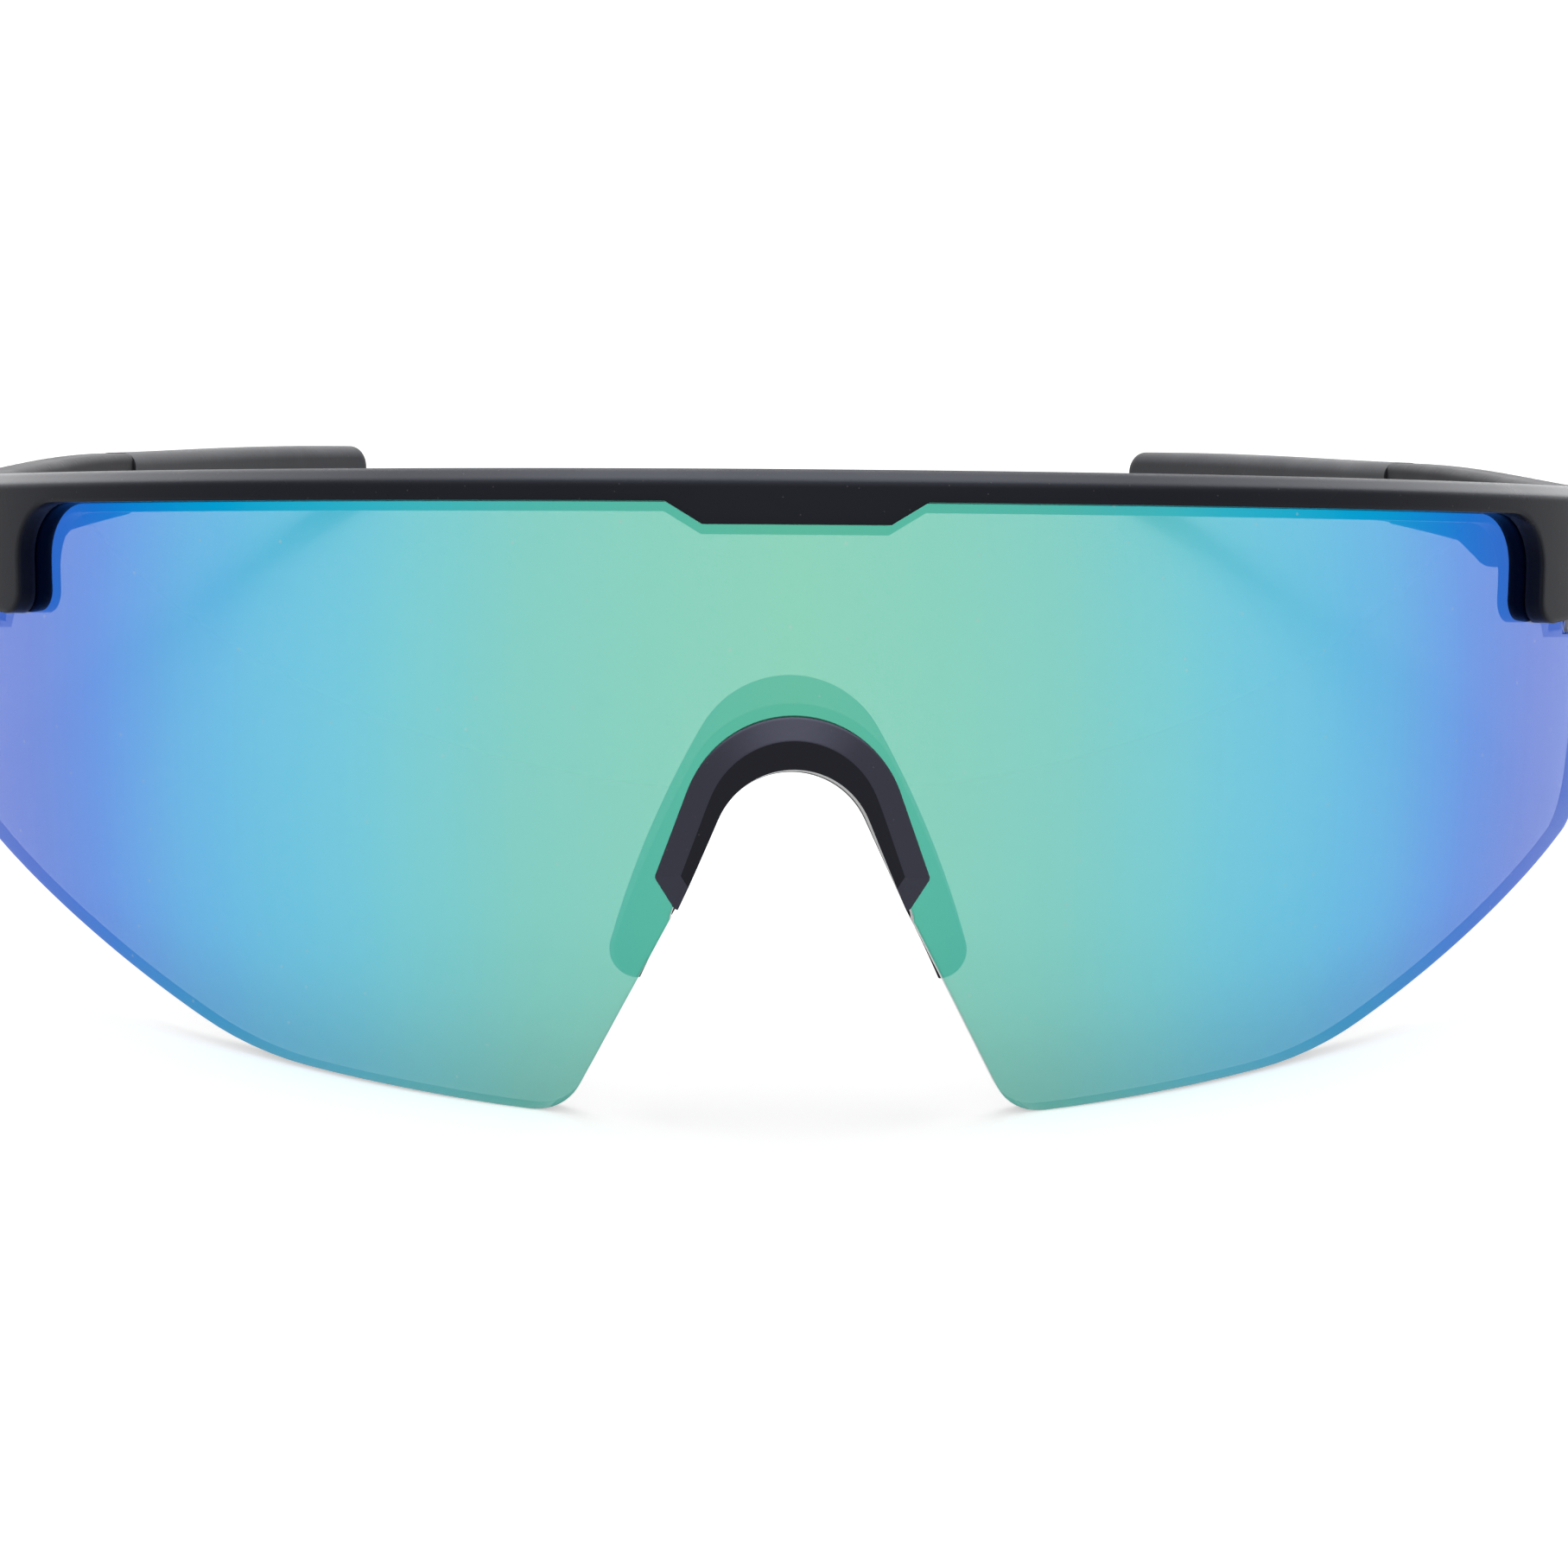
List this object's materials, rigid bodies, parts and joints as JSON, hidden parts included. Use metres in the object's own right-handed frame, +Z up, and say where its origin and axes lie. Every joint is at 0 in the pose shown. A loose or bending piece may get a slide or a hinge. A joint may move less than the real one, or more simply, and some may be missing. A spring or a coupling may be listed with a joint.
{
  "type": "sunglasses",
  "caption": "Wraparound sport sunglasses with one mirror-tinted shield lens under a half-rim brow, a nose clip with a soft pad, and folding temples with soft sleeves.",
  "frame": {"origin": "centre of the bounding box's base: on the table, midway across and midway front to back, with the sunglasses standing on the lens's lower edge and the tips of the open temples", "axes": "+X to the wearer's left, +Y back along the open temples, +Z up from the table"},
  "size_m": [0.146, 0.1596, 0.0528],
  "materials": {
    "frame_plastic": "satin black injection-moulded nylon",
    "lens_tint": "polished tinted polycarbonate with a green-to-blue mirror coating",
    "soft_rubber": "soft matt elastomer",
    "screw_steel": "plain steel",
    "bush_brass": "turned brass"
  },
  "bodies": {
    "front": {"brow_frame": "frame_plastic", "shield_lens": "lens_tint", "nose_clip": "frame_plastic", "nose_pad": "soft_rubber", "left_hinge_screw": "screw_steel", "left_hinge_bush": "bush_brass", "right_hinge_screw": "screw_steel", "right_hinge_bush": "bush_brass"},
    "left_temple": {"left_temple_arm": "frame_plastic", "left_temple_sleeve": "soft_rubber"},
    "right_temple": {"right_temple_arm": "frame_plastic", "right_temple_sleeve": "soft_rubber"}
  },
  "joints": [
    {"name": "left_fold", "type": "hinge", "parent": "front", "child": "left_temple", "pos_m": [0.06785, -0.03415, 0.03362], "axis": [0, 0.336, 0.9418], "range_deg": [0, 84]},
    {"name": "right_fold", "type": "hinge", "parent": "front", "child": "right_temple", "pos_m": [-0.06785, -0.03415, 0.03362], "axis": [0, -0.336, -0.9418], "range_deg": [0, 74]}
  ]
}
